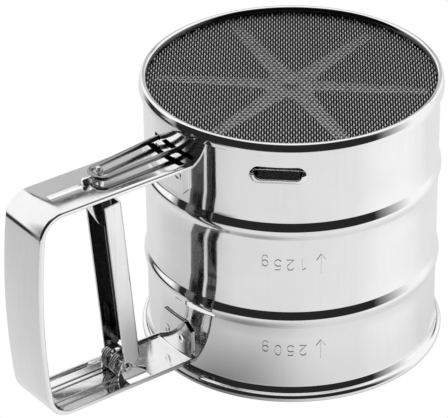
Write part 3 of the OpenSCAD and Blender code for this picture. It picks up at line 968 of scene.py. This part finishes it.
@dataclass
class Trigger:
    """The channel-shaped trigger, its hinge pin and its tongue."""

    hinge: tuple[float, float] = (74.2, 13.2)
    lean: float = 5.0
    width: float = 12.4
    thick: float = 0.7
    face: float = 1.1
    depth: float = 6.6
    length: float = 63.9
    foot: float = 3.2
    tongue: float = 1.6
    pin: float = 1.6

    def place(self) -> Matrix:
        """From the trigger's leaning frame to the part's."""
        x, z = self.hinge
        return HANDLE_TURN @ Matrix.Translation(Vector((x, 0, z)) * MM) @ Matrix.Rotation(math.radians(self.lean), 4, "Y")

    def channel(self) -> bpy.types.Object:
        """Draws the channel section up the trigger, open towards the grip, and trims its foot."""
        half, t = self.width / 2, self.thick
        back = self.face - self.depth
        corners = [
            (back, half), (back, -half), (self.face, -half), (self.face, t - half),
            (back + t, t - half), (back + t, half - t), (self.face, half - t), (self.face, half),
        ]
        shape = Shape.rounded(corners, [1.1, 1.1, 0.2, 0.2, 0.5, 0.5, 0.2, 0.2], 6)
        body = Bench.outline("channel", [(x, y, -2.6) for x, y in shape])
        Bench.edit(
            body,
            lambda: bpy.ops.mesh.edge_face_add(),
            lambda: bpy.ops.mesh.extrude_region_move(TRANSFORM_OT_translate={"value": (0, 0, (self.length + 2.6) * MM)}),
        )
        Bench.clean(body, 40)
        side = Matrix(((1, 0, 0, 0), (0, 0, -1, 10 * MM), (0, 1, 0, 0), (0, 0, 0, 1)))
        heel = [(-9.0, -4.0), (0.2, -4.0), (0.2, -2.6), (-2.0, -0.5), (back, self.foot), (-9.0, self.foot + 3)]
        toe = [(0.2, -4.0), (3.0, -4.0), (3.0, -1.4), (self.face, -1.6), (0.2, -2.6)]
        for shape in (heel, toe):
            Bench.cut(body, Bench.clean(Bench.place(Bench.press("trim", shape, 20, 0.0), side)))
        Bench.cut(body, Bench.box((back - 1, t - half, -5), (back + t + 0.4, half - t, self.foot)))
        return Bench.clean(body, 35)

    def tongue_piece(self) -> bpy.types.Object:
        """The tongue that stands up through the arm and forks round the wire's loop."""
        notch, floor, inner, outer = 1.3, 72.38, 76.28, 74.48
        top = self.length
        web = self.face - self.depth + self.thick - 0.2
        shape = [
            (web, top - 14), (self.face, top - 8), (4.8, top + 1), (4.8, outer - 0.8), (4.0, outer), (notch, outer),
            (notch, floor), (-notch, floor), (-notch, inner), (-2.4, inner), (-3.2, inner - 0.8), (-3.2, top + 1),
            (web, top - 1),
        ]
        plate = Bench.press("tongue", shape, self.tongue, 0.2)
        stand = Matrix(((1, 0, 0, 0), (0, 0, -1, self.tongue / 2 * MM), (0, 1, 0, 0), (0, 0, 0, 1)))
        return Bench.place(plate, stand)

    def build(self, shelf: FinishShelf) -> None:
        """Makes the trigger, and the pin with its clip."""
        lever = Bench.join("trigger_channel", self.channel(), self.tongue_piece())
        Bench.place(lever, self.place())
        shelf.dress(lever, Finish.TRIGGER, "trigger", "trigger_lever")
        self.shade_inside(lever, shelf)
        self.pin_piece(shelf)

    def shade_inside(self, lever: bpy.types.Object, shelf: FinishShelf) -> None:
        """Gives the inside of the channel and the web's outer face painted shade, a darker steel colour."""
        lever.data.materials.append(shelf.materials[Finish.CHANNEL])
        back = self.place().inverted()
        half, t = self.width / 2, self.thick
        for face in lever.data.polygons:
            x, y, _ = (back @ face.center) / MM
            normal = back.to_3x3() @ face.normal
            # Painted shade: the web's inner face, the flanges' inner faces and the web's outer face.
            web = x < self.face - self.depth + t + 0.6 and normal.x > 0.3
            side = abs(y) < half - t / 2 and abs(normal.y) > 0.3 and abs(y) > self.tongue
            outside = x < self.face - self.depth + 0.1 and normal.x < -0.3
            if outside or ((web or side) and x < self.face - 0.15):
                face.material_index = 1

    def pin_piece(self, shelf: FinishShelf) -> None:
        """Turns the hinge pin with its domed head, and its clip."""
        x, z = self.hinge
        end, r = self.width / 2 + 0.2, self.pin / 2
        head = [(0.0, -end - 1.0), (r - 0.15, -end - 1.0), (r, -end - 0.85), (r, end), (1.5, end), (1.5, end + 0.25)]
        head += [(1.25, end + 0.5), (0.75, end + 0.66), (0.0, end + 0.7)]
        lay = HANDLE_TURN @ Matrix.Translation(Vector((x, 0, z)) * MM) @ Matrix.Rotation(-math.pi / 2, 4, "X")
        pin = Bench.place(Bench.turn("hinge_pin_turned", head, 48), lay)
        shelf.dress(pin, Finish.RIVET, "cup", "hinge_pin")
        collar = [(0.83, -end - 0.7), (1.75, -end - 0.7), (1.9, -end - 0.55), (1.9, -end - 0.15), (1.75, -end), (0.83, -end)]
        clip = Bench.place(Bench.turn("hinge_clip_turned", collar, 48), lay)
        shelf.dress(clip, Finish.RIVET, "cup", "hinge_clip")


@dataclass
class ReturnSpring:
    """Double torsion spring: two groups of turns, two feet and one bail."""

    hinge: tuple[float, float] = (74.2, 13.2)
    wire: float = 0.78
    outer: float = 8.8
    coil_end: float = 4.4
    coil_length: float = 3.8
    foot_reach: float = 105.1
    bail_height: float = 15.0

    def coil(self, side: int) -> list[Point3]:
        """One group of turns with its foot.

        Args:
            side: 1 for the near group, -1 for the far one.

        Returns:
            Points from the end of the foot to the last turn, in the handle's frame.
        """
        x, z = self.hinge
        r = (self.outer - self.wire) / 2
        start = side * (self.coil_end - self.wire / 2)
        turns = (self.coil_length - self.wire) / (self.wire + 0.2)
        foot = [(self.foot_reach - 6 * i, start, z - r) for i in range(4) if self.foot_reach - 6 * i > x + 2]
        points = [(self.foot_reach, start, z - r), ((self.foot_reach + x) / 2, start, z - r)] if foot else []
        steps = int(turns * 24)
        for i in range(steps + 1):
            a = -math.pi / 2 - math.tau * i / 24
            along = start - side * (self.coil_length - self.wire) * i / steps
            points.append((x + r * math.cos(a), along, z + r * math.sin(a)))
        return points

    def build(self, shelf: FinishShelf, trigger: Trigger) -> None:
        """Makes the turns and feet on the cup, and the bail on the trigger."""
        runs = [[at_handle(p) for p in self.coil(side)] for side in (-1, 1)]
        turns = Bench.wire("spring_turns", runs, self.wire, 3)
        shelf.dress(turns, Finish.SPRING, "cup", "return_spring")
        r = (self.outer - self.wire) / 2
        front = trigger.face - trigger.depth + trigger.thick + self.wire / 2 + 0.1
        low = (-r * math.cos(math.radians(30)), r * math.sin(math.radians(30)))
        route = [
            (low[0], -0.85, low[1]), (front, -1.3, 6.0), (front, -1.3, self.bail_height),
            (front, 1.3, self.bail_height), (front, 1.3, 6.0), (low[0], 0.85, low[1]),
        ]
        bail = Bench.wire("spring_bail", [Shape.rounded(route, [0, 3, 0.9, 0.9, 3, 0], 6, False)], self.wire, 3)
        Bench.place(bail, trigger.place())
        shelf.dress(bail, Finish.SPRING, "trigger")


@dataclass
class PullWire:
    """The wire loop that the trigger pulls, with its hook and clip."""

    height: float = 86.6
    thick: float = 1.8
    loop_reach: float = 80.62
    loop_width: float = 8.0
    loop_bend: float = 2.4
    hook: tuple[float, float] = (-5.80, -15.5)
    hook_top: float = 90.2
    inner_end: tuple[float, float] = (30.0, 1.47)

    def build(self, shelf: FinishShelf) -> None:
        """Bends the wire and seats its clip."""
        x, half, z = self.loop_reach, self.loop_width / 2, self.height
        hook = (*self.hook, z)
        route = [
            (*self.hook, self.hook_top), hook, (x, -half, z), (x, half, z), (*self.inner_end, z),
        ]
        points = Shape.rounded(route, [0, 1.1, self.loop_bend, self.loop_bend, 0], 10, False)
        wire = Bench.wire("pull_wire_bent", [[at_handle(p) for p in points]], self.thick, 6)
        shelf.dress(wire, Finish.WIRE, "wire", "pull_wire")
        collar = [(0.93, 89.1), (2.15, 89.1), (2.3, 89.2), (2.3, 89.5), (2.15, 89.6), (0.93, 89.6)]
        lay = HANDLE_TURN @ Matrix.Translation(Vector((*self.hook, 0)) * MM)
        clip = Bench.place(Bench.turn("wire_clip_turned", collar, 40), lay)
        shelf.dress(clip, Finish.RIVET, "wire", "wire_clip")


@dataclass
class Stirrer:
    """The star stirrer with its hub and crank, and the bar and pin that carry it."""

    arms: int = 6
    rest: float = 16.0
    reach: float = 46.5
    root: float = 8.0
    tip: float = 4.2
    hub: float = 8.6
    bore: float = 1.55

    def star_outline(self) -> list[Point2]:
        """The star's outline with its arms growing out of the hub."""
        outline: list[Point2] = []
        for i in range(self.arms):
            turn = math.radians(self.rest + 360 * i / self.arms)
            spread = self.root / 2
            local = [
                (self.hub * 0.98, -spread), (14.0, -3.4), (self.reach - 1, -self.tip / 2), (self.reach, 1 - self.tip / 2),
                (self.reach, self.tip / 2 - 1), (self.reach - 1, self.tip / 2), (14.0, 3.4), (self.hub * 0.98, spread),
            ]
            for x, y in local:
                outline.append((x * math.cos(turn) - y * math.sin(turn), x * math.sin(turn) + y * math.cos(turn)))
        return outline

    def build(self, shelf: FinishShelf, nodes: dict[str, bpy.types.Object]) -> None:
        """Presses the star and dresses the pieces under it."""
        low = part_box("agitator_star")[0][2] / MM
        star = Bench.press("stirrer_star", self.star_outline(), 1.0, 0.18)
        Bench.place(star, Matrix.Translation((0, 0, low * MM)))
        Bench.cut(star, Bench.drum(self.bore, low - 1, low + 2, 40))
        Bench.clean(star, 40)
        shelf.dress(star, Finish.STIRRER, "stirrer", "agitator_star")
        # Painted shade: the crank plate, bridge bar, spacer collar and lower washer get a near-black steel colour,
        # standing in for the shade inside the cup.
        for name, finish in (
            ("crank_plate", Finish.BAR), ("agitator_hub", Finish.RIVET), ("bridge_bar", Finish.BAR),
            ("centre_pin", Finish.RIVET), ("spacer_collar", Finish.BAR), ("lower_washer", Finish.BAR),
            ("upper_washer", Finish.RIVET),
        ):
            shelf.repaint(nodes[name], finish)


# ---------------------------------------------------------------- studio


@dataclass
class Studio:
    """Camera, pale floor and soft surroundings."""

    lens: float = 220.98
    place: Point3 = (-503.47, -644.42, 524.39)
    ground: float = -0.02

    def camera(self) -> None:
        """Sets the camera at its viewing angle."""
        data = bpy.data.cameras.new("view")
        data.lens, data.sensor_width = self.lens, 36.0
        data.clip_start, data.clip_end = 0.05, 20.0
        camera = bpy.data.objects.new("view", data)
        bpy.context.scene.collection.objects.link(camera)
        yaw, pitch, roll = 0.0284143, 0.5299866, -0.0137025
        forward = Vector((-math.sin(yaw) * math.cos(pitch), math.cos(yaw) * math.cos(pitch), -math.sin(pitch)))
        right = forward.cross(Vector((0, 0, 1))).normalized()
        up = right.cross(forward)
        across = right * math.cos(roll) + up * math.sin(roll)
        above = up * math.cos(roll) - right * math.sin(roll)
        axes = Matrix((across, above, -forward)).transposed()
        turn = Matrix.Rotation(math.radians(-38), 3, "Z")
        camera.matrix_world = Matrix.Translation(Vector(self.place) * MM) @ (turn @ axes).to_4x4()
        bpy.context.scene.camera = camera

    def floor(self) -> None:
        """Lays the pale floor, plain white to the camera, with a painted shadow for reflections: black under the cup
        and a soft dark patch round its foot, strongest on the handle's side.
        """
        Bench.clear()
        bpy.ops.mesh.primitive_plane_add(size=12, location=(0, 0, self.ground * MM))
        plane = bpy.context.object
        plane.name = "floor"
        material = bpy.data.materials.new("pale floor")
        material.use_nodes = True
        material.node_tree.nodes.clear()
        nodes = Nodes(material.node_tree)
        where = nodes.add("ShaderNodeTexCoord").outputs["Object"]
        away = nodes.add("ShaderNodeVectorMath", {0: where}, operation="LENGTH").outputs["Value"]
        parts = nodes.add("ShaderNodeSeparateXYZ", {0: where})
        # Painted shadow, seen only by reflections: black under the cup, and round its foot a dark patch that is
        # strongest on the handle's side and fades out by 0.1 m.
        toward = nodes.math("ADD", nodes.math("MULTIPLY", parts.outputs[0], -0.906), nodes.math("MULTIPLY", parts.outputs[1], -0.423))
        facing = nodes.span(nodes.math("DIVIDE", toward, away), 0.5, 1.0, 0.0, 1.0)
        amount = nodes.span(nodes.math("POWER", facing, 4.0), 0.0, 1.0, 0.12, 0.76)
        under = nodes.span(away, 0.0515, 0.0525, 1.0, 0.0)
        floor_shadow = nodes.math("MULTIPLY", amount, nodes.span(away, 0.052, 0.1, 1.0, 0.0))
        floor_shadow = nodes.math("MAXIMUM", floor_shadow, under)
        paint = nodes.add("ShaderNodeEmission", {"Color": (1, 1, 1, 1), "Strength": 0.0})
        clear = nodes.add("ShaderNodeBsdfTransparent")
        near = nodes.add("ShaderNodeMixShader", {0: floor_shadow, 1: clear.outputs[0], 2: paint.outputs[0]})
        seen = nodes.add("ShaderNodeEmission", {"Color": (1, 1, 1, 1), "Strength": 1.0})
        eye = nodes.add("ShaderNodeLightPath").outputs["Is Camera Ray"]
        both = nodes.add("ShaderNodeMixShader", {0: eye, 1: near.outputs[0], 2: seen.outputs[0]})
        nodes.add("ShaderNodeOutputMaterial", {"Surface": both.outputs[0]})
        plane.data.materials.append(material)

    def surroundings(self) -> None:
        """Paints the room: white above and below, with a dark belt in front and a grey back."""
        world = bpy.data.worlds.new("studio")
        bpy.context.scene.world = world
        world.use_nodes = True
        world.node_tree.nodes.clear()
        nodes = Nodes(world.node_tree)
        ray = nodes.add("ShaderNodeTexCoord").outputs["Generated"]
        turned = nodes.add("ShaderNodeMapping", {0: ray, 2: (0, 0, math.radians(38))})
        parts = nodes.add("ShaderNodeSeparateXYZ", {0: turned.outputs[0]})
        x, y, z = parts.outputs
        lift = nodes.math("DEGREES", nodes.math("ARCSINE", z))
        azimuth = nodes.math("DEGREES", nodes.math("ARCTAN2", y, x))
        below = nodes.math("ADD", nodes.span(x, -0.99, -0.6, 0.52, 0.76), nodes.span(x, -0.6, 0.6, 0.0, 0.06))
        below = nodes.math("ADD", below, nodes.span(x, 0.68, 0.9, 0.0, 0.16))
        half = nodes.span(lift, -9.0, -7.0, 0.0, 1.0)
        back = nodes.math("MULTIPLY", nodes.span(azimuth, 55.0, 75.0, 0.0, 1.0), nodes.span(azimuth, 108.0, 112.0, 1.0, 0.0))
        ceiling = nodes.span(lift, 33.0, 34.0, 0.0, 1.0)
        grey = nodes.math("MULTIPLY", back, nodes.math("SUBTRACT", 1.0, ceiling))
        above = nodes.math("SUBTRACT", 1.0, nodes.math("MULTIPLY", grey, 0.45))
        edge = nodes.math("MULTIPLY", nodes.span(lift, 31.5, 32.5, 0.0, 1.0), nodes.span(lift, 35.0, 36.0, 1.0, 0.0))
        edge = nodes.math("MULTIPLY", edge, back)
        front = nodes.math("MAXIMUM", nodes.span(azimuth, 6.0, -28.0, 0.0, 1.0), nodes.span(azimuth, 172.0, 182.0, 0.0, 1.0))
        belt = nodes.math("MULTIPLY", nodes.span(lift, -16.0, -14.0, 0.0, 1.0), nodes.span(lift, 60.0, 78.0, 1.0, 0.0))
        left = nodes.math("MULTIPLY", nodes.span(x, -0.6, -0.8, 0.0, 1.0), nodes.span(azimuth, 172.0, 182.0, 1.0, 0.0))
        low = nodes.math("MULTIPLY", nodes.span(lift, -20.5, -19.5, 0.0, 1.0), nodes.span(lift, -11.0, -10.0, 1.0, 0.0))
        dark = nodes.math("MAXIMUM", nodes.math("MULTIPLY", belt, front), nodes.math("MULTIPLY", low, left))
        dark = nodes.math("MAXIMUM", dark, edge)
        light = nodes.math("ADD", nodes.math("MULTIPLY", below, nodes.math("SUBTRACT", 1.0, half)), nodes.math("MULTIPLY", above, half))
        level = nodes.math("ADD", nodes.math("MULTIPLY", light, nodes.math("SUBTRACT", 1.0, dark)), nodes.math("MULTIPLY", dark, 0.02))
        paint = nodes.add("ShaderNodeBackground", {"Color": (1, 1, 1, 1), "Strength": level})
        nodes.add("ShaderNodeOutputWorld", {"Surface": paint.outputs[0]})

    def build(self) -> None:
        """Sets up the whole studio."""
        self.camera()
        self.floor()
        self.surroundings()
        scene = bpy.context.scene
        scene.view_settings.view_transform = "Standard"
        scene.view_settings.look = "None"


def main() -> None:
    """Builds the sifter piece by piece."""
    logging.basicConfig(level=logging.INFO, format="%(name)s: %(message)s")
    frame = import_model()
    Studio().build()
    shelf = FinishShelf()
    cup = Cup()
    cup.wall_piece(shelf)
    cup.slot_lip(shelf)
    cup.marks(shelf)
    sieve = Sieve()
    sieve.ring_piece(shelf)
    sieve.mesh_pieces(shelf)
    Handle().build(shelf)
    trigger = Trigger()
    trigger.build(shelf)
    ReturnSpring().build(shelf, trigger)
    PullWire().build(shelf)
    Stirrer().build(shelf, frame["nodes"])


if __name__ == "__main__":
    main()
